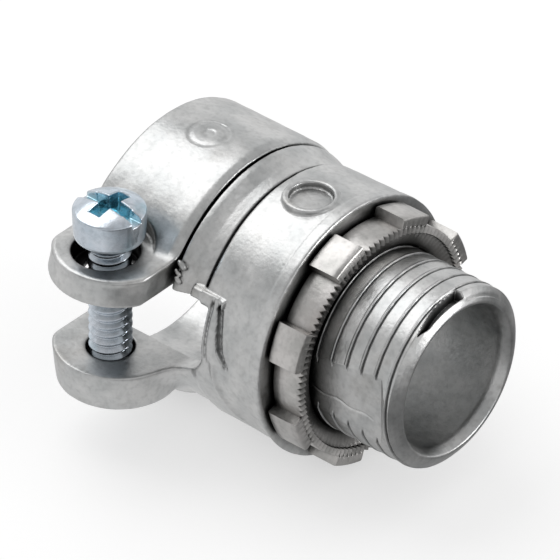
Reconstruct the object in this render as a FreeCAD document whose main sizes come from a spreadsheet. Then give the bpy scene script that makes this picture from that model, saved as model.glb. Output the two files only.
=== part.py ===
import FreeCAD, Part
import os

import Sketcher

# Straight clamp connector for half-inch flexible metal conduit.
# Millimetres. The origin lies on the hub's axis, in the plane of the shoulder that seats on a
# box wall. +X runs along the hub to its open end, +Z is the side of the clamp screw's head, and
# the two clamp ears stand out on the -Y side.

SIZES = {
    # hub and its thread
    "hub_length": 14.9,
    "thread_radius": 10.67,
    "hub_rim_radius": 9.7,
    "hub_chamfer": 1.0,
    "hub_flat": 10.2,
    "root_groove_start": 4.5,
    "root_groove_width": 0.7,
    "root_groove_radius": 9.9,
    # barrel between the hub and the collar
    "shoulder_radius": 15.3,
    "shoulder_chamfer": 0.35,
    "barrel_length": 9.3,
    "barrel_back_radius": 15.07,
    "boss_back": 5.1,
    "boss_side": 1.0,
    "boss_radius": 3.1,
    "boss_height": 15.4,
    "boss_recess_radius": 2.45,
    "boss_floor": 14.1,
    # neck and slit between the barrel and the upper half of the collar
    "neck_back_radius": 14.4,
    "neck_front_radius": 15.7,
    "slit_width": 0.6,
    # waist under the lower half, behind the barrel
    "waist_front": 10.2,
    "waist_back": 15.0,
    "waist_end": 16.6,
    "waist_radius": 14.35,
    # collar
    "collar_front": 13.75,
    "collar_back": 26.6,
    "collar_radius": 16.0,
    # passage
    "socket_radius": 12.6,
    "socket_stop": 8.2,
    "throat_radius": 8.35,
    "throat_start": 1.55,
    "stop_radius": 11.4,
    "mouth_radius": 8.89,
    "mouth_length": 1.2,
    # split of the collar
    "gap_bottom": 3.4,
    "gap_top": 6.1,
    "hinge_height": 3.0,
    "seam_gap": 0.1,
    # ears
    "upper_ear_radius": 7.6,
    "upper_ear_draft": 0.6,
    "lower_ear_radius": 7.25,
    "lower_ear_draft": 0.45,
    "ear_back": 20.3,
    "ear_out": 14.95,
    "upper_ear_top": 9.25,
    "lower_ear_base": 7.95,
    "screw_hole_radius": 3.7,
    "screw_hole_out": 16.95,
    "head_relief_radius": 4.4,
    "head_relief_out": 15.85,
    # clamp screw
    "screw_back": 20.3,
    "screw_out": 16.3,
    "screw_seat": 10.9,
    "screw_length": 19.05,
    "shank_radius": 2.415,
    "shank_point": 0.6,
    "head_radius": 4.05,
    "head_side": 3.75,
    "head_dome": 0.95,
    "slot_recess_width": 1.3,
    "slot_recess_depth": 1.3,
    "cross_recess_reach": 2.1,
    "cross_recess_width": 1.5,
    "cross_recess_depth": 2.4,
    "tapped_radius": 2.5,
    # locknut
    "nut_back": 0.3,
    "nut_thickness": 4.1,
    "nut_bore_radius": 10.77,
    "nut_ring_radius": 13.5,
    "nut_lug_radius": 14.6,
    "nut_lug_width": 4.6,
    "nut_lug_count": 8,
    "nut_turn": 22.7,
}

TOP = 20.0  # a height above every part of the fitting, for cuts that run out into the open

doc = FreeCAD.newDocument("clamp_connector")


def make_sheet():
    """Put every driving size in the document's spreadsheet, one named cell each."""
    sheet = doc.addObject("Spreadsheet::Sheet", "sizes")
    for row, (name, value) in enumerate(SIZES.items(), start=1):
        sheet.set(f"A{row}", name)
        sheet.set(f"B{row}", str(value))
        sheet.setAlias(f"B{row}", name)
    doc.recompute()


def cell(text):
    """Turn words such as 'hub_length - hub_chamfer' into a spreadsheet expression."""
    words = text.split()
    return " ".join(f"sizes.{word}" if word in SIZES else word for word in words)


def value(text):
    """The number that an expression of size names stands for now."""
    return float(doc.getObject("sizes").evalExpression(cell(text)))


def new_body(label):
    body = doc.addObject("PartDesign::Body", label)
    body.Label = label
    return body


def origin_feature(body, role):
    return next(item for item in body.Origin.OriginFeatures if item.Role == role)


def place(item, **expressions):
    """Bind the x, y and z of an object's placement to expressions of size names."""
    for letter, text in expressions.items():
        item.setExpression(f".Placement.Base.{letter}", cell(text))


def new_sketch(body, name, role):
    """A sketch on one of the body's origin planes."""
    sketch = body.newObject("Sketcher::SketchObject", name)
    sketch.AttachmentSupport = [(origin_feature(body, role), "")]
    sketch.MapMode = "FlatFace"
    return sketch


def fix_point(sketch, edge, end, across, up):
    """Hold one end of an edge at expressions of size names, measured from the sketch's origin."""
    for kind, axis, text in (("DistanceX", -2, across), ("DistanceY", -1, up)):
        number = value(text)
        if number == 0:
            sketch.addConstraint(Sketcher.Constraint("PointOnObject", edge, end, axis))
            continue
        index = sketch.addConstraint(Sketcher.Constraint(kind, -1, 1, edge, end, number))
        sketch.setExpression(f"Constraints[{index}]", cell(text))


def draw_outline(sketch, points):
    """A closed outline of straight edges through points given as pairs of expressions."""
    places = [FreeCAD.Vector(value(across), value(up), 0) for across, up in points]
    for start, end in zip(places, places[1:] + places[:1]):
        sketch.addGeometry(Part.LineSegment(start, end))
    count = len(points)
    for edge in range(count):
        following = (edge + 1) % count
        sketch.addConstraint(Sketcher.Constraint("Coincident", edge, 2, following, 1))
    for edge, (across, up) in enumerate(points):
        fix_point(sketch, edge, 1, across, up)


def draw_circle(sketch, radius):
    """A circle about the sketch's origin."""
    circle = Part.Circle(FreeCAD.Vector(0, 0, 0), FreeCAD.Vector(0, 0, 1), value(radius))
    edge = sketch.addGeometry(circle)
    sketch.addConstraint(Sketcher.Constraint("Coincident", edge, 3, -1, 1))
    index = sketch.addConstraint(Sketcher.Constraint("Radius", edge, value(radius)))
    sketch.setExpression(f"Constraints[{index}]", cell(radius))


def revolve(body, name, role, points, about="H_Axis", cut=False, half_turn=False):
    """Turn an outline round an axis of its sketch: once, or half a turn centred on the outline."""
    sketch = new_sketch(body, f"{name}_outline", role)
    draw_outline(sketch, points)
    kind = "PartDesign::Groove" if cut else "PartDesign::Revolution"
    feature = body.newObject(kind, name)
    feature.Profile = sketch
    feature.ReferenceAxis = (sketch, [about])
    feature.Angle = 180.0 if half_turn else 360.0
    feature.Midplane = half_turn
    sketch.Visibility = False
    doc.recompute()
    return feature


def volume(body):
    doc.recompute()
    return body.Shape.Volume


def cut_outline(body, name, role, points, reversed_side=False, both_sides=False):
    """Pocket an outline through the whole body, and make sure that it took something away."""
    before = volume(body)
    sketch = new_sketch(body, f"{name}_outline", role)
    draw_outline(sketch, points)
    pocket = body.newObject("PartDesign::Pocket", name)
    pocket.Profile = sketch
    pocket.Type = "ThroughAll"
    pocket.SideType = "Symmetric" if both_sides else "One side"
    pocket.Reversed = reversed_side
    sketch.Visibility = False
    if volume(body) >= before:
        raise RuntimeError(f"{name} cuts nothing from {body.Label}")


def cylinder(body, name, radius, height, cut=False, **at):
    """A round post along +Z, added to the body or taken from it."""
    kind = "PartDesign::SubtractiveCylinder" if cut else "PartDesign::AdditiveCylinder"
    post = body.newObject(kind, name)
    post.setExpression("Radius", cell(radius))
    post.setExpression("Height", cell(height))
    place(post, **at)
    doc.recompute()


def box(body, name, length, width, height, **at):
    """A block taken from the body; its low corner is where the expressions say."""
    block = body.newObject("PartDesign::SubtractiveBox", name)
    block.setExpression("Length", cell(length))
    block.setExpression("Width", cell(width))
    block.setExpression("Height", cell(height))
    place(block, **at)
    doc.recompute()


def ear(body, name, low_radius, high_radius, low, high):
    """A rounded clamp ear: a drafted disc about the ear's centre, between two heights."""
    disc = body.newObject("PartDesign::AdditiveCone", name)
    disc.setExpression("Radius1", cell(low_radius))
    disc.setExpression("Radius2", cell(high_radius))
    disc.setExpression("Height", cell(f"{high} - ( {low} )"))
    place(disc, x="0 - ear_back", y="0 - ear_out", z=low)
    doc.recompute()


def make_body_casting():
    """Hub, barrel, neck, lower half of the collar and the tapped lower ear, in one casting."""
    body = new_body("body_casting")
    revolve(body, "outside", "XY_Plane", [
        ("hub_length", "0"),
        ("hub_length", "hub_rim_radius"),
        ("hub_length - hub_chamfer", "thread_radius"),
        ("root_groove_start + root_groove_width", "thread_radius"),
        ("root_groove_start + root_groove_width", "root_groove_radius"),
        ("root_groove_start", "root_groove_radius"),
        ("root_groove_start", "thread_radius"),
        ("0", "thread_radius"),
        ("0", "shoulder_radius - shoulder_chamfer"),
        ("0 - shoulder_chamfer", "shoulder_radius"),
        ("0 - barrel_length", "barrel_back_radius"),
        ("0 - collar_front", "collar_radius"),
        ("0 - collar_back", "collar_radius"),
        ("0 - collar_back", "0"),
    ])
    revolve(body, "neck", "XZ_Plane", [
        ("0 - barrel_length", "neck_back_radius"),
        ("0 - barrel_length", "collar_radius + 1"),
        ("0 - collar_front", "collar_radius + 1"),
        ("0 - collar_front", "neck_front_radius"),
    ], about="H_Axis", cut=True, half_turn=True)
    revolve(body, "waist", "XZ_Plane", [
        ("0 - barrel_length", "0 - barrel_back_radius"),
        ("0 - waist_front", "0 - waist_radius"),
        ("0 - waist_back", "0 - waist_radius"),
        ("0 - waist_end", "0 - collar_radius"),
        ("0 - waist_end", "0 - ( collar_radius + 1 )"),
        ("0 - barrel_length", "0 - ( collar_radius + 1 )"),
    ], about="H_Axis", cut=True, half_turn=True)
    ear(body, "lower_ear", "lower_ear_radius - lower_ear_draft", "lower_ear_radius",
        "0 - lower_ear_base", "0 - gap_bottom")
    box(body, "ear_rear_face", "4", "3 * collar_radius", "2 * collar_radius",
        x="0 - collar_back - 4", y="-2 * collar_radius", z="0 - collar_radius")
    cylinder(body, "boss", "boss_radius", "boss_height - throat_radius - 2",
             x="0 - boss_back", y="0 - boss_side", z="throat_radius + 2")
    cylinder(body, "boss_recess", "boss_recess_radius", "boss_height", cut=True,
             x="0 - boss_back", y="0 - boss_side", z="boss_floor")
    for name, low in (("near_flat", "0 - hub_flat - 4"), ("far_flat", "hub_flat")):
        box(body, name, "hub_length + 1", "4", "2 * thread_radius",
            x="0", y=low, z="0 - thread_radius")
    revolve(body, "passage", "XY_Plane", [
        ("hub_length + 1", "0"),
        ("hub_length + 1", "mouth_radius"),
        ("hub_length", "mouth_radius"),
        ("hub_length - mouth_length", "throat_radius"),
        ("0 - throat_start", "throat_radius"),
        ("0 - socket_stop", "stop_radius"),
        ("0 - socket_stop", "socket_radius"),
        ("0 - collar_back - 1", "socket_radius"),
        ("0 - collar_back - 1", "0"),
    ], cut=True)
    cut_outline(body, "jaw_room", "XZ_Plane", [
        ("0 - collar_back - 2", "hinge_height"),
        ("0 - collar_front + slit_width", "hinge_height"),
        ("0 - collar_front + slit_width", str(TOP)),
        ("0 - collar_back - 2", str(TOP)),
    ], both_sides=True)
    cut_outline(body, "clamp_gap", "XZ_Plane", [
        ("0 - collar_back - 2", "0 - gap_bottom"),
        ("0 - socket_stop", "0 - gap_bottom"),
        ("0 - socket_stop", "gap_top"),
        ("0 - collar_back - 2", "gap_top"),
    ], reversed_side=True)
    cylinder(body, "tapped_hole", "tapped_radius", "lower_ear_base + 2", cut=True,
             x="0 - screw_back", y="0 - screw_out", z="0 - lower_ear_base - 1")
    return body


def make_upper_jaw():
    """Upper half of the collar with its ear, which closes on the conduit."""
    body = new_body("upper_jaw")
    revolve(body, "ring", "XY_Plane", [
        ("0 - collar_front", "0"),
        ("0 - collar_front", "collar_radius"),
        ("0 - collar_back", "collar_radius"),
        ("0 - collar_back", "0"),
    ])
    ear(body, "upper_ear", "upper_ear_radius", "upper_ear_radius - upper_ear_draft",
        "gap_top", "upper_ear_top")
    for name, corner in (("rear_face", "0 - collar_back - 4"), ("front_face", "0 - collar_front")):
        box(body, name, "4", "3 * collar_radius", "2 * collar_radius",
            x=corner, y="-2 * collar_radius", z="0 - collar_radius")
    revolve(body, "socket", "XY_Plane", [
        ("0 - collar_front + 1", "0"),
        ("0 - collar_front + 1", "socket_radius"),
        ("0 - collar_back - 1", "socket_radius"),
        ("0 - collar_back - 1", "0"),
    ], cut=True)
    cut_outline(body, "lower_half", "YZ_Plane", [
        ("0", "hinge_height + seam_gap"),
        (str(TOP), "hinge_height + seam_gap"),
        (str(TOP), str(-TOP)),
        (str(-TOP), str(-TOP)),
        (str(-TOP), "gap_top"),
        ("0", "gap_top"),
    ], both_sides=True)
    cylinder(body, "head_relief", "head_relief_radius", str(TOP), cut=True,
             x="0 - screw_back", y="0 - head_relief_out", z="upper_ear_top")
    cylinder(body, "screw_hole", "screw_hole_radius", str(TOP), cut=True,
             x="0 - screw_back", y="0 - screw_hole_out", z="0")
    return body


def make_clamp_screw():
    """Fillister-head machine screw with a slot and a cross recess. Its axis is +Z."""
    body = new_body("clamp_screw")
    revolve(body, "turned", "XZ_Plane", [
        ("0", "0 - screw_length"),
        ("shank_radius - shank_point", "0 - screw_length"),
        ("shank_radius", "0 - screw_length + shank_point"),
        ("shank_radius", "0"),
        ("head_radius", "0"),
        ("head_radius", "head_side"),
        ("head_radius * 0.55", "head_side + head_dome * 0.7"),
        ("0", "head_side + head_dome"),
    ], about="V_Axis")
    half_slot = "slot_recess_width / 2"
    half_cross = "cross_recess_width / 2"
    for name, reach, half_width, depth in (
        ("driver_slot", "head_radius", half_slot, "slot_recess_depth"),
        ("cross_along", "cross_recess_reach", half_cross, "cross_recess_depth"),
        ("cross_across", half_cross, "cross_recess_reach", "cross_recess_depth"),
    ):
        box(body, name, f"2 * {reach}", f"2 * {half_width}", str(TOP),
            x=f"0 - {reach}", y=f"0 - {half_width}", z=f"head_side + head_dome - {depth}")
    place(body, x="0 - screw_back", y="0 - screw_out", z="screw_seat")
    return body


def pad(body, name, sketch, length):
    feature = body.newObject("PartDesign::Pad", name)
    feature.Profile = sketch
    feature.setExpression("Length", cell(length))
    sketch.Visibility = False
    doc.recompute()
    return feature


def make_locknut():
    """Conduit locknut: a ring with square lugs round its rim. Its axis is +X."""
    body = new_body("locknut")
    ring = new_sketch(body, "ring_outline", "YZ_Plane")
    draw_circle(ring, "nut_ring_radius")
    draw_circle(ring, "nut_bore_radius")
    pad(body, "ring", ring, "nut_thickness")
    outline = new_sketch(body, "lug_outline", "YZ_Plane")
    draw_outline(outline, [
        ("nut_ring_radius - 1", "0 - nut_lug_width / 2"),
        ("nut_lug_radius", "0 - nut_lug_width / 2"),
        ("nut_lug_radius", "nut_lug_width / 2"),
        ("nut_ring_radius - 1", "nut_lug_width / 2"),
    ])
    lug = pad(body, "lug", outline, "nut_thickness")
    lugs = body.newObject("PartDesign::PolarPattern", "lugs")
    lugs.Originals = [lug]
    lugs.Axis = (origin_feature(body, "X_Axis"), [""])
    lugs.Angle = 360.0
    lugs.setExpression("Occurrences", cell("nut_lug_count"))
    body.Tip = lugs
    place(body, x="nut_back")
    body.Placement.Rotation = FreeCAD.Rotation(FreeCAD.Vector(1, 0, 0), value("nut_turn"))
    doc.recompute()
    return body


def check_document(bodies):
    """Stop on any feature or solid that failed to build."""
    for item in doc.Objects:
        if {"Invalid", "Error"} & set(item.State):
            raise RuntimeError(f"{item.Label} failed: {item.State}")
    for body in bodies:
        if body.Shape.isNull() or not body.Shape.isValid() or len(body.Shape.Solids) != 1:
            raise RuntimeError(f"{body.Label} is not one valid solid")


def main():
    make_sheet()
    bodies = [make_body_casting(), make_upper_jaw(), make_clamp_screw(), make_locknut()]
    doc.recompute()
    check_document(bodies)
    os.makedirs("parts", exist_ok=True)
    for body in bodies:
        body.Shape.exportStep(f"parts/{body.Label}.step")
        extent = body.Shape.BoundBox
        print(f"{body.Label}: {body.Shape.Volume:.1f} mm3, x {extent.XMin:.2f} to {extent.XMax:.2f}, "
              f"y {extent.YMin:.2f} to {extent.YMax:.2f}, z {extent.ZMin:.2f} to {extent.ZMax:.2f}")


main()
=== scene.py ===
"""Looks of the conduit clamp connector: a die-cast zinc body, its locknut and its clamp screw.

Shapes are worked out in millimetres in the row frame: +X along the hub to its threaded end,
-Y out to the ears, +Z the side of the screw's head. Angles are in degrees about the hub's axis,
from +Y over the top (+Z) to the ears (-Y). A cast shape is a signed distance field, negative
inside the metal, that is turned into a mesh.
"""

import math

import bpy
import numpy as np
import openvdb
from mathutils import Matrix, Vector


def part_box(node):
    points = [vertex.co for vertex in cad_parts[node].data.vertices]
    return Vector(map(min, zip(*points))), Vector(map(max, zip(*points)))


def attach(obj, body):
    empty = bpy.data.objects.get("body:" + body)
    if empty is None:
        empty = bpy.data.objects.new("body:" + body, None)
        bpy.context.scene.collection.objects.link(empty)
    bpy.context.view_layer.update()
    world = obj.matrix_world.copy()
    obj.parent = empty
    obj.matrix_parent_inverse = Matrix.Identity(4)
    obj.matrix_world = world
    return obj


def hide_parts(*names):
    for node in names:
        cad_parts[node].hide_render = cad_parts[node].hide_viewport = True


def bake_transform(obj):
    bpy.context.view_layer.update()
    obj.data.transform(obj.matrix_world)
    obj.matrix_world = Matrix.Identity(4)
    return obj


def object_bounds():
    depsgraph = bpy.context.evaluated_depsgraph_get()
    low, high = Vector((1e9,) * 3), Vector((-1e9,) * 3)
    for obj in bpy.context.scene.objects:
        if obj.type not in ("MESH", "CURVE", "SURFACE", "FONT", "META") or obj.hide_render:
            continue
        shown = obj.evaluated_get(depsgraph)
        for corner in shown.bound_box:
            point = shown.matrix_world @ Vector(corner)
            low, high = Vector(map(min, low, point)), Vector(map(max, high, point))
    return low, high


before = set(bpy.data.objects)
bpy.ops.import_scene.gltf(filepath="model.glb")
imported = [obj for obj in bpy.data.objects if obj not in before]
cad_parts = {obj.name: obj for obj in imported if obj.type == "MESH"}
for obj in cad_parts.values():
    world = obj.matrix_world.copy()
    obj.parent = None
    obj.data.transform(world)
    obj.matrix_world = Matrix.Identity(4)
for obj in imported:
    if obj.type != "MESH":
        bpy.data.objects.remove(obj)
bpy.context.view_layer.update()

MM = 0.001  # metres in a millimetre


def box_mm(node):
    """Lowest and highest corner of a CAD node, in millimetres."""
    low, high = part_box(node)
    return np.array(low) / MM, np.array(high) / MM


# ---- Sizes, in millimetres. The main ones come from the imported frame.

casting_low, casting_high = box_mm("body_casting")
jaw_low, jaw_high = box_mm("upper_jaw")
screw_low, screw_high = box_mm("clamp_screw")
nut_low, nut_high = box_mm("locknut")

HUB_END = casting_high[0]
COLLAR_BACK = casting_low[0]
COLLAR_FRONT = jaw_high[0]
COLLAR_RADIUS = -casting_low[2] - 0.03

THREAD_RADIUS = 10.67
THREAD_DEPTH = 0.34
THREAD_PITCH = 1.97
THREAD_START = 4.75  # where a crest crosses the angle 0
RUN_OUT = (0.2, 2.4)  # where the thread fades in, next to the shoulder
THREAD_PLACES = [0.0, 0.03, 0.08, 0.14, 0.86, 0.94, 1.0]  # shares of a turn, from a crest to the next
THREAD_HEIGHTS = [0.9, 0.2, 0.1, 0.76, 0.82, 1.0, 0.9]
FLAT_PLACES = [1.0, 12.4, 13.6]  # the flats on both sides, which fade out at the rim
HUB_FLATS = [10.2, 9.7, 10.67]
SEAM_SPAN = (2.6, 3.6, 10.8, 11.6)  # where the sunk seam on the ears' side fades in and out
SEAM_WIDTH = 0.55  # degrees
RIM_PLACES = [HUB_END - 0.95, HUB_END - 0.48, HUB_END - 0.2, HUB_END]  # the rounded rim
RIM_RADII = [10.67, 10.1, 9.65, 9.2]
RIM_LINE = 14.62  # a fine line round part of the rim
MOUTH_RADIUS = 8.89
MOUTH_LENGTH = 1.2
THROAT_RADIUS = 8.35
THROAT_START = -1.55

# the hollow where the thread's last turn starts: its floor, and the places of its two sides
HOLLOW_RADIUS = 9.3
HOLLOW_ANGLES = [84, 106, 125]
HOLLOW_BACKS = [13.28, 13.58, 14.05]
HOLLOW_FRONT = 14.42

SHOULDER_RADIUS = 15.3
BARREL_BACK = -9.3
BARREL_RADIUS = 15.07
DIE_LINE = -1.65  # the faint line round the barrel, behind the shoulder
NECK_PLACES = [-13.4, -12.7, -11.2, -10.2, -9.85, -9.65, -9.4]  # from the slit to the barrel
NECK_RADII = [15.65, 15.5, 14.95, 14.75, 14.7, 14.25, 14.2]
SLIT_FRONT = -13.36
BRIDGE = -13.45  # middle of the metal that joins neck and collar below the slit
BRIDGE_HALF = 0.9
BRIDGE_RADIUS = 15.7

COLLAR_BEVEL_START = -14.9
COLLAR_BEVEL = 0.3
COLLAR_LINE = -14.0  # the fine line behind the bevel
MARK_PLACE = -20.4
MARK_ANGLE = 90.5
MARK_DEPTH = 0.09
SOCKET_RADIUS = 12.6
SOCKET_STOP = -8.2
STOP_RADIUS = 11.4

# along the underside: collar, waist, barrel and shoulder
LOWER_PLACES = [-16.6, -15.0, -10.4, -9.3, -5.8, 0.0]
LOWER_RADII = [COLLAR_RADIUS, 14.6, 14.7, 15.1, 15.1, SHOULDER_RADIUS]
# how much smaller the underside is than the sides
LOWER_DROP_PLACES = [-16.6, -15.0, -13.0, -1.5, 0.0]
LOWER_DROPS = [1.1, 0.6, 0.5, 0.5, 0.0]

RIB_ANGLES = [175, 187, 198, 215]  # the parting rib that runs down the barrel from the band
RIB_PLACES = [-6.8, -6.6, -5.9, -4.6]
RIB_HEIGHT = 0.3

# the raised band in front of the clamp gap: its hub-side edge from the ledge down
BAND_ANGLES = [152.5, 161, 168, 173, 178.5]
BAND_EDGES = [-7.1, -6.5, -6.2, -5.9, -5.0]
BAND_TOP = 151
BAND_FOOT = 186
BAND_BACK = -9.4
BAND_RADIUS = 15.5
BAND_ARC = 15  # the radius that turns the band's angles into lengths
LEDGE = (-8.6, 6.95)
LEDGE_HALF = (2.3, 0.5)
LEDGE_RADIUS = 15.6
LEDGE_INNER_END = -12.6

BOSS = (-5.1, -1.0)
BOSS_RADIUS = 3.15
BOSS_HEIGHT = 15.4
BOSS_RECESS = 2.45
BOSS_FLOOR = 14.55

GAP_LOW = -3.4
GAP_HIGH = 6.1
GAP_CORNER = 4.5
HINGE_HEIGHT = 3.0
EAR = (-20.3, -14.95)
UPPER_EAR_TOP = 9.25
UPPER_EAR_RADII = [7.6, 7.0]  # at the gap and at the top
LOWER_EAR_BASE = -7.95
LOWER_EAR_RADII = [6.8, 7.25]  # at the base and at the gap
EAR_HOLE = (-20.6, -16.6)  # the wide part of the upper ear's hole
EAR_HOLE_RADIUS = 3.7
EAR_HOLE_DEPTH = 2.2
SHANK_HOLE_RADIUS = 2.8
RELIEF = (EAR[0], -15.85)  # the collar is cut back here for the screw's head
RELIEF_RADIUS = 4.4
TAPPED_RADIUS = 2.62

SCREW = ((screw_low[0] + screw_high[0]) / 2, (screw_low[1] + screw_high[1]) / 2)
SCREW_TIP = screw_low[2]
HEAD_SEAT = 10.9
HEAD_RADIUS = 4.05
HEAD_SIDE = 3.75
HEAD_DOME = 0.95
SCREW_TOP = HEAD_SEAT + HEAD_SIDE + HEAD_DOME
SHANK_RADIUS = 2.415
SCREW_PITCH = 1.058
SCREW_THREAD_DEPTH = 0.5
SLOT_HALF = 0.7
SLOT_DEPTH = 1.5
CROSS_REACH = 2.6
CROSS_HALF = 0.85
CROSS_DEPTH = 2.7
CROSS_TAPER = 0.22

NUT_BACK = nut_low[0]
NUT_FRONT = nut_high[0]
NUT_BORE = 10.77
NUT_RING = 13.5
NUT_LUG_RADIUS = 14.6
NUT_LUGS = 8
NUT_LUG_TURN = 22.7
NUT_LUG_HALF_ANGLE = 9.3
NUT_TEETH = 110
NUT_TEETH_INNER = 12.5
NUT_TOOTH_DEPTH = 0.5
NUT_EDGE = 0.3  # the rounding of the back edge

# ---- Fields


def smooth_max(a, b, width):
    """The larger of two fields, with their crossing rounded over a width."""
    share = np.clip(0.5 + 0.5 * (a - b) / width, 0, 1)
    return b + (a - b) * share + width * share * (1 - share)


def smooth_min(a, b, width):
    """The smaller of two fields, with their crossing rounded over a width."""
    return -smooth_max(-a, -b, width)


def rounded_corner(a, b, radius):
    """The field inside two walls that meet in a quarter circle."""
    inner = np.hypot(np.maximum(a + radius, 0), np.maximum(b + radius, 0)) - radius
    return np.maximum(np.maximum(a, b), inner)


def step(value, start, end):
    """0 before start and 1 after end, turning smoothly between them."""
    share = np.clip((value - start) / (end - start), 0, 1)
    return share * share * (3 - 2 * share)


def ridge(value, centre, width):
    """A rounded ridge of height 1 about a centre."""
    return np.exp(-(((value - centre) / width) ** 2))


def polar(y, z):
    """Distance from the hub's axis, and the angle about it in degrees."""
    return np.hypot(y, z), np.degrees(np.arctan2(z, y)) % 360


def grid_axes(low, high, voxel):
    """The x, y and z of a grid's points, shaped to combine into a block."""
    axes = [np.arange(a, b + voxel, voxel, dtype=np.float32) for a, b in zip(low, high)]
    return axes[0][:, None, None], axes[1][None, :, None], axes[2][None, None, :]


def field_mesh(field, low, voxel):
    """Points and outward quads of the surface where a field is zero."""
    grid = openvdb.FloatGrid(3 * voxel)
    grid.copyFromArray(np.clip(field, -3 * voxel, 3 * voxel).astype(np.float32))
    points, quads = grid.convertToQuads(isovalue=0.0)
    return points * voxel + np.asarray(low, np.float32), quads[:, ::-1]


def point_normals(points, quads):
    """Normals averaged over the faces round each point."""
    a, b, c, d = (points[quads[:, k]] for k in range(4))
    across = np.cross(c - a, d - b)
    total = np.zeros_like(points)
    for k in range(4):
        for axis in range(3):
            total[:, axis] += np.bincount(quads[:, k], across[:, axis], len(points))
    return total / np.maximum(np.linalg.norm(total, axis=1, keepdims=True), 1e-12)


def make_object(name, points, faces, normals=None):
    """A smooth-shaded mesh object from points in millimetres."""
    mesh = bpy.data.meshes.new(name)
    mesh.vertices.add(len(points))
    mesh.vertices.foreach_set("co", (np.asarray(points, np.float32) * MM).ravel())
    faces = np.asarray(faces, np.int32)
    mesh.loops.add(faces.size)
    mesh.loops.foreach_set("vertex_index", faces.ravel())
    mesh.polygons.add(len(faces))
    mesh.polygons.foreach_set("loop_start", np.arange(0, faces.size, 4, dtype=np.int32))
    mesh.update(calc_edges=True)
    mesh.validate()
    mesh.shade_smooth()
    if normals is not None:
        mesh.normals_split_custom_set_from_vertices(normals.tolist())
    else:
        mesh.set_sharp_from_angle(angle=math.radians(38))
    made = bpy.data.objects.new(name, mesh)
    bpy.context.scene.collection.objects.link(made)
    return made


def keep_faces(points, quads, normals, wanted):
    """The part of a mesh that has only the wanted faces."""
    quads = quads[wanted]
    used, index = np.unique(quads, return_inverse=True)
    return points[used], index.reshape(quads.shape), normals[used]


# ---- The casting behind the shoulder: barrel, neck, collar and ears


def barrel_profile(x):
    """Outer radius of the barrel, with the faint step of the die near the shoulder."""
    taper = np.interp(x, [BARREL_BACK, 0], [BARREL_RADIUS, SHOULDER_RADIUS])
    return taper - 0.06 * ridge(x, DIE_LINE, 0.12) - 0.03 * step(x, DIE_LINE + 0.15, DIE_LINE - 0.15)


def upper_collar_profile(x, angle):
    """Outer radius of the upper collar: a soft bevel and a fine line behind its front edge."""
    bevel = COLLAR_BEVEL * step(x, COLLAR_BEVEL_START, COLLAR_FRONT)
    line = 0.09 * ridge(x, COLLAR_LINE, 0.12) * step(angle, 108, 118) * (1 - step(angle, 140, 148))
    return COLLAR_RADIUS - bevel - line


def generic_mark(x, angle):
    """Depth of the plain mark on top of the collar: a sunk ring round a small dot."""
    out = np.hypot(x - MARK_PLACE, np.radians(angle - MARK_ANGLE) * COLLAR_RADIUS)
    ring = step(out, 1.75, 1.95) * (1 - step(out, 2.3, 2.5))
    dot = 1 - step(out, 0.6, 0.85)
    return MARK_DEPTH * (ring + dot)


def ear_fields(x, y, z):
    """The two clamp ears, each a drafted disc that runs on into the collar."""
    out = np.hypot(x - EAR[0], y - EAR[1])
    lip = 0.13 * ridge(z, UPPER_EAR_TOP - 0.3, 0.22)
    upper = out - np.interp(z, [GAP_HIGH, UPPER_EAR_TOP], UPPER_EAR_RADII) - lip
    upper = smooth_max(upper, z - UPPER_EAR_TOP, 0.3)
    lower = out - np.interp(z, [LOWER_EAR_BASE, GAP_LOW], LOWER_EAR_RADII)
    lower = smooth_max(lower, LOWER_EAR_BASE - z, 0.4)
    return upper, lower


def outer_field(x, y, z):
    """The outside of barrel, neck, collar and ears, as if they had no bore or gap."""
    radius, angle = polar(y, z)
    upper_ear, lower_ear = ear_fields(x, y, z)

    barrel = smooth_max(radius - barrel_profile(x), x, 0.35)
    barrel = smooth_max(barrel, BARREL_BACK - x, 0.22)
    neck = smooth_max(radius - np.interp(x, NECK_PLACES, NECK_RADII), SLIT_FRONT - x, 0.18)
    bridge = np.maximum(radius - BRIDGE_RADIUS, np.abs(x - BRIDGE) - BRIDGE_HALF)
    bridge = np.maximum(bridge, np.abs(z - HINGE_HEIGHT / 2) - HINGE_HEIGHT / 2)
    front = np.minimum(smooth_min(barrel, np.maximum(neck, x + 4), 0.15), bridge)
    front = np.maximum(front, -0.3 - z)

    low_profile = np.interp(x, LOWER_PLACES, LOWER_RADII)
    low_profile = low_profile - step(z, -2.0, -9.0) * np.interp(x, LOWER_DROP_PLACES, LOWER_DROPS)
    rib = RIB_HEIGHT * ridge(x, np.interp(angle, RIB_ANGLES, RIB_PLACES), 0.4)
    rib = rib * step(angle, 172, 178) * (1 - step(angle, 206, 220))
    lower = smooth_max(radius - low_profile - rib, x, 0.35)
    lower = smooth_min(lower, lower_ear, 1.8 + 1.4 * step(z, -7.0, -4.0))
    lower = smooth_max(lower, z - 0.3, 0.15)

    collar = radius - upper_collar_profile(x, angle) + generic_mark(x, angle)
    collar = smooth_min(collar, upper_ear, 1.1)
    collar = smooth_max(collar, x - COLLAR_FRONT, 0.25)
    collar = np.maximum(collar, -z)
    solid = np.minimum(smooth_min(front, lower, 0.12), collar)
    return smooth_max(solid, COLLAR_BACK + 0.06 - x, 0.4)


def band_edge(angle):
    """Where the raised band in front of the clamp gap ends, towards the hub."""
    return np.interp(angle, BAND_ANGLES, BAND_EDGES)


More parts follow.
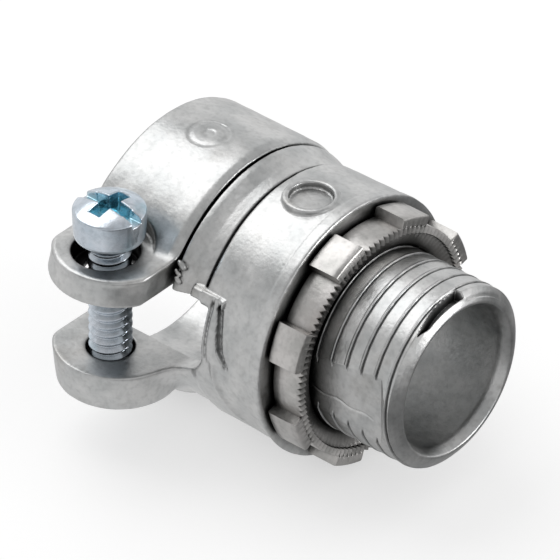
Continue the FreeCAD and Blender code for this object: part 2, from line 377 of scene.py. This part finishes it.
def front_band_field(x, y, z):
    """The raised band of metal in front of the clamp gap, and the narrow ledge at its top."""
    radius, angle = polar(y, z)
    band_radius = BAND_RADIUS - 0.45 * step(angle, 173, 185)
    band = smooth_max(radius - band_radius, x - band_edge(angle), 0.1)
    band = np.maximum(band, np.radians(BAND_TOP - angle) * BAND_ARC)
    band = np.maximum(band, np.radians(angle - BAND_FOOT) * BAND_ARC)
    band = np.maximum(band, BAND_BACK - x)
    ledge = smooth_max(np.abs(x - LEDGE[0]) - LEDGE_HALF[0], np.abs(z - LEDGE[1]) - LEDGE_HALF[1], 0.2)
    ledge = smooth_max(ledge, radius - LEDGE_RADIUS, 0.2)
    ledge = np.maximum(ledge, y - LEDGE_INNER_END)
    return smooth_min(band, ledge, 0.2)


def flash_field(x, y, z):
    """Three flakes of casting flash at the lower end of the slit."""
    flakes = (((-12.75, -13.15, 9.0), 0.5), ((-12.95, -13.6, 8.2), 0.4), ((-12.7, -13.9, 7.5), 0.42))
    field = np.float32(9.0)
    for (cx, cy, cz), size in flakes:
        slanted = z - cz + 0.5 * (x - cx)
        away = np.sqrt((0.8 * (x - cx)) ** 2 + (1.3 * (y - cy)) ** 2 + (1.3 * slanted) ** 2)
        field = np.minimum(field, away - size)
    return field


def wobble(x, y, z):
    """The slight unevenness of a cast skin."""
    broad = np.sin(0.55 * x + 0.4) * np.sin(0.47 * y + 1.1) * np.cos(0.51 * z)
    fine = np.sin(1.9 * x + 0.8 * np.sin(y)) * np.cos(1.3 * y - 1.7 * z)
    return 0.028 * broad + 0.012 * fine


def casting_field(x, y, z):
    """Everything of the casting behind the shoulder, with its passage, gap and holes."""
    radius, angle = polar(y, z)
    solid = outer_field(x, y, z) + wobble(x, y, z)
    solid = smooth_min(solid, front_band_field(x, y, z), 0.2)

    # the fine grooves along the raised band: at its edge, and a little behind
    beside = step(angle, 151, 154) * (1 - step(angle, 178, 181)) * (radius > 14.4)
    solid = solid + 0.38 * ridge(x, band_edge(angle) + 0.2, 0.2) * beside
    solid = solid + 0.3 * ridge(x, SOCKET_STOP + 0.5, 0.17) * beside

    # the boss on top and its round recess
    out = np.hypot(x - BOSS[0], y - BOSS[1])
    rim = np.maximum(smooth_max(out - BOSS_RADIUS, z - BOSS_HEIGHT, 0.25), 13 - z)
    solid = smooth_min(solid, rim, 0.15)
    solid = smooth_max(solid, -np.maximum(out - BOSS_RECESS, BOSS_FLOOR - z), 0.22)

    # the passage: socket, stop and throat
    socket = np.maximum(radius - SOCKET_RADIUS, x - SOCKET_STOP)
    stop_cone = np.interp(x, [SOCKET_STOP, THROAT_START], [STOP_RADIUS, THROAT_RADIUS])
    solid = smooth_max(solid, -socket, 0.25)
    solid = smooth_max(solid, stop_cone - radius, 0.2)

    # the gap that the jaw closes
    gap = smooth_max(rounded_corner(x - SOCKET_STOP, GAP_LOW - z, GAP_CORNER), z - GAP_HIGH, 0.3)
    solid = smooth_max(solid, -np.maximum(gap, y + 1.0), 0.32)

    # the holes for the screw, and the room for its head
    from_screw = np.hypot(x - SCREW[0], y - SCREW[1])
    wide = np.hypot(x - EAR_HOLE[0], y - EAR_HOLE[1]) - EAR_HOLE_RADIUS
    wide = np.maximum(wide, UPPER_EAR_TOP - EAR_HOLE_DEPTH - z)
    hole = np.minimum(wide, np.maximum(from_screw - SHANK_HOLE_RADIUS, -z))
    relief = np.hypot(x - RELIEF[0], y - RELIEF[1]) - RELIEF_RADIUS
    relief = np.maximum(relief, UPPER_EAR_TOP + 0.08 - z)
    tapped = np.maximum(from_screw - TAPPED_RADIUS, z)
    solid = smooth_max(solid, -hole, 0.35)
    solid = smooth_max(solid, -relief, 0.3)
    solid = smooth_max(solid, -tapped, 0.3)
    return smooth_min(solid, flash_field(x, y, z), 0.15)


def make_castings():
    """The barrel with its neck, and the collar with both ears, cut apart at the slit."""
    voxel = 0.15
    margin = 0.8
    low = np.array([COLLAR_BACK, jaw_low[1], casting_low[2]]) - margin
    high = np.array([0, COLLAR_RADIUS, COLLAR_RADIUS]) + margin
    points, quads = field_mesh(casting_field(*grid_axes(low, high, voxel)), low, voxel)
    normals = point_normals(points, quads)
    middle = points[quads].mean(axis=1)
    behind = middle[:, 0] < (SLIT_FRONT + COLLAR_FRONT) / 2
    return (
        keep_faces(points, quads, normals, ~behind),
        keep_faces(points, quads, normals, behind),
    )


# ---- The threaded hub


def ring_mesh(rings):
    """Quads between rings of points, each ring the same length, the last joined to the first."""
    count = len(rings)
    around = rings[0].shape[0]
    points = np.concatenate(rings)
    index = np.arange(count * around).reshape(count, around)
    ahead = np.roll(index, -1, axis=0)
    corners = (index, np.roll(index, -1, axis=1), np.roll(ahead, -1, axis=1), ahead)
    return points, np.stack([c.ravel() for c in corners], axis=1)


def thread_height(x, angle):
    """0 at the root and 1 at the crest of the hub's thread: broad lands between fine grooves."""
    turn = ((x - THREAD_START) / THREAD_PITCH - angle / 360) % 1.0
    return np.interp(turn, THREAD_PLACES, THREAD_HEIGHTS)


def hub_radius(x, angle):
    """Outer radius of the hub: thread, the hollow at its start, rounded rim, seam and two flats."""
    height = thread_height(x, angle) * step(x, RUN_OUT[0], RUN_OUT[1])
    radius = THREAD_RADIUS - THREAD_DEPTH * (1 - height)
    radius = np.minimum(radius, np.interp(x, RIM_PLACES, RIM_RADII))
    back = np.interp(angle, HOLLOW_ANGLES, HOLLOW_BACKS)
    front = HOLLOW_FRONT - 0.3 * step(angle, 116, 125)
    hollow = step(x, back - 0.04, back + 0.06) * (1 - step(x, front - 0.06, front + 0.04))
    hollow = hollow * step(angle, 83.2, 84.2) * (1 - step(angle, 123.5, 125))
    radius = radius - np.maximum(radius - HOLLOW_RADIUS, 0) * hollow
    radius = radius - 0.16 * ridge(x, RIM_LINE, 0.06) * step(angle, 20, 50) * (1 - step(angle, 80, 84))
    seam = ridge(angle, 183.5 + 0.5 * x + 0.8 * math.sin(1.7 * x), SEAM_WIDTH)
    seam = seam * step(x, SEAM_SPAN[0], SEAM_SPAN[1]) * step(x, SEAM_SPAN[3], SEAM_SPAN[2])
    radius = radius - 0.12 * seam
    flat = np.interp(x, FLAT_PLACES, HUB_FLATS) / np.maximum(np.abs(np.cos(np.radians(angle))), 1e-6)
    flat = flat - 0.1 * seam
    return np.minimum(radius, flat)


def make_hub():
    """The hub as one closed skin, its root buried in the barrel."""
    around = 720
    spacing = 0.055
    angle = np.arange(around) * 360.0 / around
    sine, cosine = np.sin(np.radians(angle)), np.cos(np.radians(angle))
    outer_x = np.linspace(-0.3, HUB_END - 0.02, int(HUB_END / spacing))
    sections = [(x, hub_radius(max(x, 0.0), angle)) for x in outer_x]
    end = hub_radius(HUB_END - 0.02, angle)
    sections.append((HUB_END, end * 0.5 + (MOUTH_RADIUS + 0.12) * 0.5))
    sections.append((HUB_END, np.full(around, MOUTH_RADIUS + 0.12)))
    sections.append((HUB_END - 0.05, np.full(around, MOUTH_RADIUS + 0.02)))
    for x in np.linspace(HUB_END - 0.15, -0.3, 40):
        flare = MOUTH_LENGTH - (HUB_END - x)
        radius = THROAT_RADIUS + max(flare, 0) / MOUTH_LENGTH * (MOUTH_RADIUS - THROAT_RADIUS)
        sections.append((x, np.full(around, radius + 0.5 * max(-x, 0))))
    rings = [np.stack([np.full(around, x), r * cosine, r * sine], axis=1) for x, r in sections]
    points, quads = ring_mesh(rings)
    return points, quads[:, ::-1]


def join(first, second):
    """One mesh from two, each given as points and quads."""
    points = np.concatenate([first[0], second[0]])
    return points, np.concatenate([first[1], second[1] + len(first[0])])


# ---- The locknut


def lug_share(angle):
    """1 on a lug of the locknut and 0 between two lugs."""
    spacing = 360 / NUT_LUGS
    away = np.abs((angle - NUT_LUG_TURN + spacing / 2) % spacing - spacing / 2)
    return np.interp(away, [NUT_LUG_HALF_ANGLE - 0.3, NUT_LUG_HALF_ANGLE + 0.3], [1, 0])


def nut_angles():
    """Angles round the nut: eight to a tooth, with more at the sides of each lug."""
    even = np.arange(NUT_TEETH * 8) * 360 / (NUT_TEETH * 8)
    sides = []
    for lug in range(NUT_LUGS):
        centre = NUT_LUG_TURN + lug * 360 / NUT_LUGS
        for side in (-1, 1):
            sides.append(centre + side * NUT_LUG_HALF_ANGLE + np.array([-0.3, -0.1, 0.1, 0.3]))
    merged = np.sort(np.concatenate([even] + sides) % 360)
    return merged[np.concatenate([[True], np.diff(merged) > 0.02])]


def make_locknut():
    """The locknut: a ring with eight lugs and radial teeth on its front face."""
    angle = nut_angles()
    lug = lug_share(angle)
    outer = NUT_RING - 0.08 + (NUT_LUG_RADIUS - NUT_RING + 0.08) * lug
    saw = np.abs((angle * NUT_TEETH / 360) % 1.0 - 0.5) * 2
    face = NUT_FRONT - 0.12
    toothed = face + 0.1 - NUT_TOOTH_DEPTH * saw
    edge = lug * (face - 0.1) + (1 - lug) * toothed
    full = np.ones_like(angle)
    sections = [
        (NUT_BACK * full, (NUT_BORE + 0.25) * full),
        (NUT_BACK * full, (outer + NUT_BORE) / 2),
        (NUT_BACK * full, outer - NUT_EDGE),
        ((NUT_BACK + 0.08) * full, outer - 0.09),
        ((NUT_BACK + NUT_EDGE) * full, outer),
    ]
    for share in (0.25, 0.5, 0.75, 0.97):
        sections.append((NUT_BACK + NUT_EDGE + share * (edge - NUT_BACK - NUT_EDGE), outer))
    sections += [
        (edge, outer - 0.08),
        (lug * face + (1 - lug) * toothed, outer - 0.12 - 0.12 * lug),
        (lug * face + (1 - lug) * toothed, NUT_RING - 0.22 + 0.2 * lug),
        (toothed, (NUT_RING - 0.25) * full),
        (toothed, (NUT_RING - 0.6) * full),
        (toothed - 0.02, (NUT_TEETH_INNER + 0.1) * full),
        (face - 0.4 - 0.1 * saw, NUT_TEETH_INNER * full),
        ((face - 0.6) * full, (NUT_TEETH_INNER - 0.3) * full),
        ((face - 0.8) * full, (NUT_BORE + 0.5) * full),
        ((face - 1.1) * full, NUT_BORE * full),
    ]
    for share in (0.33, 0.66, 1.0):
        sections.append(((face - 1.1) * (1 - share) + (NUT_BACK + 0.25) * share, NUT_BORE * full))
    sine, cosine = np.sin(np.radians(angle)), np.cos(np.radians(angle))
    rings = [np.stack([x * full, r * cosine, r * sine], axis=1) for x, r in sections]
    points, quads = ring_mesh(rings)
    return points, quads[:, ::-1]


# ---- The clamp screw


def screw_field(x, y, z):
    """A fillister head with a slot and a cross recess, over a threaded shank."""
    right, away = x - SCREW[0], y - SCREW[1]
    radius = np.hypot(right, away)
    turn = np.arctan2(away, right) / (2 * np.pi)
    phase = np.abs(((z / SCREW_PITCH - turn) % 1.0) - 0.5) * 2
    thread = np.interp(phase, [0.0, 0.12, 0.9, 1.0], [0.0, 0.05, 0.97, 1.0])
    shank = (radius - SHANK_RADIUS + SCREW_THREAD_DEPTH * thread) * 0.75
    tip = radius - SHANK_RADIUS + 0.7 - (z - SCREW_TIP)
    shank = smooth_max(shank, tip * 0.7, 0.1)
    shank = np.maximum(np.maximum(shank, SCREW_TIP + 0.02 - z), z - HEAD_SEAT - 0.5)

    side_top = HEAD_SEAT + HEAD_SIDE
    taper = HEAD_RADIUS - 0.02 - 0.1 * step(z, side_top, HEAD_SEAT)
    ball_radius = (HEAD_RADIUS**2 + HEAD_DOME**2) / (2 * HEAD_DOME)
    ball_centre = SCREW_TOP - 0.02 - ball_radius
    dome = np.sqrt(radius**2 + (z - ball_centre) ** 2) - ball_radius
    head = smooth_max(radius - taper, dome, 0.2)
    head = smooth_max(head, HEAD_SEAT - z, 0.9)
    solid = np.minimum(shank, head)

    slot = smooth_max(np.abs(away) - SLOT_HALF, SCREW_TOP - SLOT_DEPTH - z, 0.12)
    narrowing = CROSS_TAPER * (SCREW_TOP - z)
    reach, half = CROSS_REACH - narrowing, CROSS_HALF - 0.4 * narrowing
    along_slot = np.maximum(np.abs(right) - reach, np.abs(away) - half)
    over_slot = np.maximum(np.abs(away) - reach, np.abs(right) - half)
    recess = np.maximum(np.minimum(along_slot, over_slot), SCREW_TOP - CROSS_DEPTH - z)
    solid = smooth_max(solid, -slot, 0.12)
    return smooth_max(solid, -recess, 0.12)


def make_screw():
    """Points and quads of the screw."""
    voxel = 0.07
    reach = HEAD_RADIUS + 0.4
    low = np.array([SCREW[0] - reach, SCREW[1] - reach, SCREW_TIP - 0.4])
    high = np.array([SCREW[0] + reach, SCREW[1] + reach, SCREW_TOP + 0.4])
    return field_mesh(screw_field(*grid_axes(low, high, voxel)), low, voxel)


# ---- Materials


def link(tree, source, target):
    """Join an output socket to an input socket."""
    tree.links.new(source, target)


def noise(tree, coordinates, scale, detail=3.0, roughness=0.55):
    """A noise pattern; its scale is in features a metre."""
    node = tree.nodes.new("ShaderNodeTexNoise")
    node.inputs["Scale"].default_value = scale
    node.inputs["Detail"].default_value = detail
    node.inputs["Roughness"].default_value = roughness
    link(tree, coordinates, node.inputs["Vector"])
    return node.outputs["Fac"]


def ramp(tree, source, stops):
    """A colour ramp; each stop is a place and a grey or a colour."""
    node = tree.nodes.new("ShaderNodeValToRGB")
    elements = node.color_ramp.elements
    while len(elements) < len(stops):
        elements.new(0.5)
    for element, (place, colour) in zip(elements, stops):
        element.position = place
        rgb = (colour,) * 3 if isinstance(colour, (int, float)) else colour
        element.color = (*rgb, 1.0)
    link(tree, source, node.inputs["Fac"])
    return node.outputs["Color"]


def mix(tree, kind, factor, a, b):
    """Blend two colours; the factor and either colour may be a socket or a constant."""
    node = tree.nodes.new("ShaderNodeMix")
    node.data_type = "RGBA"
    node.blend_type = kind
    for name, value in (("Factor", factor), ("A", a), ("B", b)):
        socket = next(s for s in node.inputs if s.name == name and s.enabled)
        if isinstance(value, bpy.types.NodeSocket):
            link(tree, value, socket)
        elif name == "Factor":
            socket.default_value = value
        else:
            socket.default_value = (*value, 1.0)
    return next(s for s in node.outputs if s.enabled)


def add_scaled(tree, a, b, scale):
    """a + b * scale, on single numbers."""
    node = tree.nodes.new("ShaderNodeMath")
    node.operation = "MULTIPLY_ADD"
    link(tree, b, node.inputs[0])
    node.inputs[1].default_value = scale
    link(tree, a, node.inputs[2])
    return node.outputs[0]


def coordinate_along(tree, place, direction, offset):
    """A coordinate measured along a direction, plus an offset."""
    dot = tree.nodes.new("ShaderNodeVectorMath")
    dot.operation = "DOT_PRODUCT"
    link(tree, place, dot.inputs[0])
    dot.inputs[1].default_value = direction
    total = tree.nodes.new("ShaderNodeMath")
    link(tree, dot.outputs["Value"], total.inputs[0])
    total.inputs[1].default_value = offset
    return total.outputs[0]


def hole_shade(tree, place):
    """1 on the walls of the upper ear's hole, where shade is painted, and 0 elsewhere."""
    parts = tree.nodes.new("ShaderNodeSeparateXYZ")
    link(tree, place, parts.inputs[0])
    flat = tree.nodes.new("ShaderNodeCombineXYZ")
    link(tree, parts.outputs["X"], flat.inputs["X"])
    link(tree, parts.outputs["Y"], flat.inputs["Y"])
    away = tree.nodes.new("ShaderNodeVectorMath")
    away.operation = "DISTANCE"
    link(tree, flat.outputs[0], away.inputs[0])
    away.inputs[1].default_value = (EAR_HOLE[0] * MM, EAR_HOLE[1] * MM, 0.0)
    near = tree.nodes.new("ShaderNodeMapRange")
    link(tree, away.outputs["Value"], near.inputs["Value"])
    near.inputs["From Min"].default_value = (EAR_HOLE_RADIUS + 0.1) * MM
    near.inputs["From Max"].default_value = (EAR_HOLE_RADIUS + 0.25) * MM
    near.inputs["To Min"].default_value = 1.0
    near.inputs["To Max"].default_value = 0.0
    above = tree.nodes.new("ShaderNodeMapRange")
    link(tree, parts.outputs["Z"], above.inputs["Value"])
    above.inputs["From Min"].default_value = 0.5 * MM
    above.inputs["From Max"].default_value = 2.0 * MM
    both = tree.nodes.new("ShaderNodeMath")
    both.operation = "MULTIPLY"
    link(tree, near.outputs["Result"], both.inputs[0])
    link(tree, above.outputs["Result"], both.inputs[1])
    return both.outputs[0]


def metal(name, dark, light, stain, hollow, roughness, grain, bump, hole=False, recess=None):
    """Satin metal with blotches, stains, rubbed edges and a fine skin, with painted shade in its
    creases, hollow places and broad corners.

    Colours are linear, roughness is a low and a high value, and grain is in features a metre.
    The hollow colour is painted shade; a recess colour takes its place in the screw's head; hole
    paints shade into the upper ear's hole.
    """
    material = bpy.data.materials.new(name)
    material.use_nodes = True
    tree = material.node_tree
    shader = tree.nodes["Principled BSDF"]
    place = tree.nodes.new("ShaderNodeTexCoord").outputs["Object"]

    blotch = noise(tree, place, 260, 4.0)
    speck = noise(tree, place, 1500, 2.0)
    colour = mix(tree, "MIX", ramp(tree, blotch, [(0.36, 0.0), (0.64, 1.0)]), dark, light)
    smear = ramp(tree, noise(tree, place, 120, 5.0, 0.65), [(0.56, 0.0), (0.74, 0.55)])
    colour = mix(tree, "MIX", smear, colour, stain)
    colour = mix(tree, "MULTIPLY", 0.5, colour, ramp(tree, speck, [(0.3, 0.72), (0.55, 1.0)]))
    # Pointiness: edges come out lighter, as rubbed metal, and creases darker, which is painted shade.
    pointiness = tree.nodes.new("ShaderNodeNewGeometry").outputs["Pointiness"]
    wear_and_crease_shade = ramp(tree, pointiness, [(0.44, 0.45), (0.5, 0.86), (0.56, 1.0)])
    colour = mix(tree, "MULTIPLY", 0.35, colour, wear_and_crease_shade)
    # Painted shade: spots that an occlusion test finds closed in within 2.2 mm take the dark hollow
    # colour.
    hollow_shade = tree.nodes.new("ShaderNodeAmbientOcclusion")
    hollow_shade.samples = 8
    hollow_shade.inputs["Distance"].default_value = 2.2 * MM
    open_share = ramp(tree, hollow_shade.outputs["AO"], [(0.22, 0.0), (0.8, 1.0)])
    if recess is not None:
        height = coordinate_along(tree, place, (0, 0, 1 / MM), -HEAD_SEAT)
        hollow = mix(tree, "MIX", ramp(tree, height, [(0.0, 0.0), (0.9, 1.0)]), hollow, recess)
    colour = mix(tree, "MIX", open_share, hollow, colour)
    if recess is None:
        # Painted shade: a wider occlusion test darkens broad concave corners.
        corners = tree.nodes.new("ShaderNodeAmbientOcclusion")
        corners.samples = 8
        corners.inputs["Distance"].default_value = 4.5 * MM
        shade = ramp(tree, corners.outputs["AO"], [(0.25, 0.45), (0.75, 1.0)])
        colour = mix(tree, "MULTIPLY", 1.0, colour, shade)
    # Painted shade: the walls of the upper ear's hole are darkened.
    if hole:
        colour = mix(tree, "MULTIPLY", hole_shade(tree, place), colour, (0.12, 0.12, 0.12))
    link(tree, colour, shader.inputs["Base Color"])

    low, high = roughness
    gloss = ramp(tree, blotch, [(0.3, low), (0.7, high)])
    link(tree, gloss, shader.inputs["Roughness"])
    shader.inputs["Metallic"].default_value = 1.0

    height = add_scaled(tree, noise(tree, place, grain, 4.0, 0.5), noise(tree, place, 300, 2.0), 1.6)
    height = add_scaled(tree, height, speck, 0.4)
    bumps = tree.nodes.new("ShaderNodeBump")
    bumps.inputs["Strength"].default_value = bump
    bumps.inputs["Distance"].default_value = 0.08 * MM
    link(tree, height, bumps.inputs["Height"])
    link(tree, bumps.outputs["Normal"], shader.inputs["Normal"])
    return material


zinc = metal(
    "cast_zinc",
    dark=(0.56, 0.57, 0.57),
    light=(0.74, 0.74, 0.735),
    stain=(0.40, 0.385, 0.36),
    hollow=(0.05, 0.05, 0.05),
    roughness=(0.28, 0.40),
    grain=2600,
    bump=0.3,
    hole=True,
)
nut_zinc = metal(
    "cast_nut",
    dark=(0.50, 0.495, 0.48),
    light=(0.72, 0.70, 0.685),
    stain=(0.45, 0.40, 0.38),
    hollow=(0.05, 0.05, 0.045),
    roughness=(0.26, 0.38),
    grain=2200,
    bump=0.35,
)
plate = metal(
    "plated_screw",
    dark=(0.62, 0.70, 0.78),
    light=(0.78, 0.83, 0.90),
    stain=(0.25, 0.50, 0.60),
    hollow=(0.12, 0.15, 0.17),
    roughness=(0.14, 0.24),
    grain=1800,
    bump=0.2,
    recess=(0.52, 0.82, 0.90),
)

# ---- Pieces


def dress(made, material):
    """Give a piece its material."""
    made.data.materials.append(material)


barrel_part, collar_part = make_castings()
hub_part = make_hub()
hub_normals = point_normals(*hub_part)
casting = make_object(
    "casting",
    *join(barrel_part[:2], hub_part),
    np.concatenate([barrel_part[2], hub_normals]),
)
collar = make_object("collar", *collar_part)
locknut = make_object("locknut_lugged", *make_locknut())
screw = make_object("screw_threaded", *make_screw())

dress(casting, zinc)
dress(collar, zinc)
dress(locknut, nut_zinc)
dress(screw, plate)

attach(casting, "body")
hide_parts("body_casting")
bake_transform(collar)
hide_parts("upper_jaw")
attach(locknut, "nut")
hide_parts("locknut")
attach(screw, "screw")
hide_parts("clamp_screw")

# ---- Floor, light and camera

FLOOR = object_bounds()[0][2]
FLOOR_HALF = 3.0
FLOOR_BRIGHT = 0.72
FLOOR_DARK = 0.18

VIEW_CENTRE = (-3.539, -7.829, 8.608)
VIEW_DISTANCE = 970.0
VIEW_ANGLES = (40.941, 35.598, 0.311)  # azimuth, elevation and roll
LENS = 585.12


def make_floor():
    """A pale floor that glows evenly; the metal reflects a painted grey instead, brighter on the
    collar's side than on the hub's.
    """
    mesh = bpy.data.meshes.new("floor")
    signs = ((-1, -1), (1, -1), (1, 1), (-1, 1))
    corners = [(i * FLOOR_HALF, j * FLOOR_HALF, FLOOR) for i, j in signs]
    mesh.from_pydata(corners, [], [(0, 1, 2, 3)])
    floor = bpy.data.objects.new("floor", mesh)
    bpy.context.scene.collection.objects.link(floor)
    material = bpy.data.materials.new("pale_floor")
    material.use_nodes = True
    tree = material.node_tree
    seen = tree.nodes["Principled BSDF"]
    seen.inputs["Base Color"].default_value = (0.55, 0.55, 0.55, 1.0)
    seen.inputs["Roughness"].default_value = 0.9
    seen.inputs["Emission Color"].default_value = (1.0, 1.0, 1.0, 1.0)
    seen.inputs["Emission Strength"].default_value = 0.55
    # Painted reflection: a glowing grey that only reflections see, not the camera.
    reflected = tree.nodes.new("ShaderNodeEmission")
    place = tree.nodes.new("ShaderNodeTexCoord").outputs["Object"]
    share = coordinate_along(tree, place, (12.0, 3.0, 0.0), 0.5)
    grey = ramp(tree, share, [(0.25, FLOOR_BRIGHT), (0.8, FLOOR_DARK)])
    link(tree, grey, reflected.inputs["Color"])
    chosen = tree.nodes.new("ShaderNodeMixShader")
    link(tree, tree.nodes.new("ShaderNodeLightPath").outputs["Is Camera Ray"], chosen.inputs[0])
    link(tree, reflected.outputs[0], chosen.inputs[1])
    link(tree, seen.outputs[0], chosen.inputs[2])
    link(tree, chosen.outputs[0], tree.nodes["Material Output"].inputs["Surface"])
    mesh.materials.append(material)


def softbox(name, direction, distance, width, height, power):
    """An area light that looks back at the object from a direction."""
    light = bpy.data.lights.new(name, "AREA")
    light.shape = "RECTANGLE"
    light.size, light.size_y = width, height
    light.energy = power
    lamp = bpy.data.objects.new(name, light)
    bpy.context.scene.collection.objects.link(lamp)
    away = Vector(direction).normalized()
    lamp.location = away * distance
    lamp.rotation_euler = away.to_track_quat("Z", "Y").to_euler()


def set_world(near_side, far_side, zenith):
    """A soft studio: one grey towards the ears, another away from them, and dimmer overhead."""
    world = bpy.data.worlds.new("studio")
    world.use_nodes = True
    tree = world.node_tree
    place = tree.nodes.new("ShaderNodeTexCoord").outputs["Generated"]
    height = coordinate_along(tree, place, (0, 0, 1), 0.0)
    share = coordinate_along(tree, place, (-0.2, 0.5, 0), 0.5)
    overhead = ramp(tree, height, [(0.1, 1.0), (0.7, zenith)])
    sides = ramp(tree, share, [(0.15, near_side), (0.85, far_side)])
    grey = mix(tree, "MULTIPLY", 1.0, overhead, sides)
    link(tree, grey, tree.nodes["Background"].inputs["Color"])
    bpy.context.scene.world = world


def make_camera():
    """The viewpoint: its azimuth, elevation and small roll about a point near the barrel."""
    azimuth, elevation, roll = map(math.radians, VIEW_ANGLES)
    centre = Vector(VIEW_CENTRE) * MM
    back = Vector((
        math.sin(azimuth) * math.cos(elevation),
        -math.cos(azimuth) * math.cos(elevation),
        math.sin(elevation),
    ))
    level = Vector((math.cos(azimuth), math.sin(azimuth), 0))
    up = back.cross(level)
    right = math.cos(roll) * level + math.sin(roll) * up
    up = back.cross(right)
    camera = bpy.data.cameras.new("camera")
    camera.lens = LENS
    made = bpy.data.objects.new("camera", camera)
    bpy.context.scene.collection.objects.link(made)
    turn = Matrix((right, up, back)).transposed().to_4x4()
    made.matrix_world = Matrix.Translation(centre + back * VIEW_DISTANCE * MM) @ turn
    bpy.context.scene.camera = made


make_floor()
bpy.context.scene.view_settings.view_transform = "Standard"
set_world(near_side=0.78, far_side=0.95, zenith=0.62)
softbox("key", (-0.55, 0.02, 0.83), distance=0.5, width=0.42, height=0.38, power=0.72)
softbox("rim", (0.88, 0.38, 0.18), distance=0.6, width=0.20, height=0.30, power=1.1)
make_camera()
